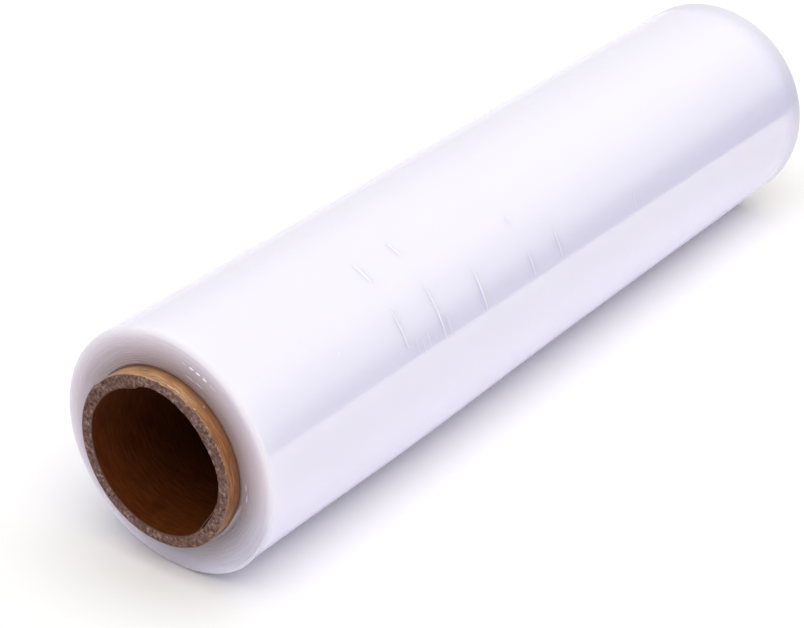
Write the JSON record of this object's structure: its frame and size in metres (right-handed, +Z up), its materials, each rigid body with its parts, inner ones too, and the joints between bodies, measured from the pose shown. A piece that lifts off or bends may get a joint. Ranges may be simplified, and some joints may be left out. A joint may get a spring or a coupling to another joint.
{
  "type": "stretch wrap roll",
  "caption": "Hand roll of clear stretch film wound on a paperboard core whose ends stand proud of the film, lying on its side.",
  "frame": {"origin": "centre of the box's bottom, on the surface that the flat spot rests on", "axes": "+X along the roll's axis, +Z up"},
  "size_m": [0.518, 0.124, 0.1236],
  "materials": {
    "paperboard": "matt kraft outside, grey-brown cut ends",
    "film": "milky clear film, glossy on the wound surface, soft on the end faces"
  },
  "bodies": {
    "root": {"core": "paperboard", "film": "film"}
  },
  "joints": []
}
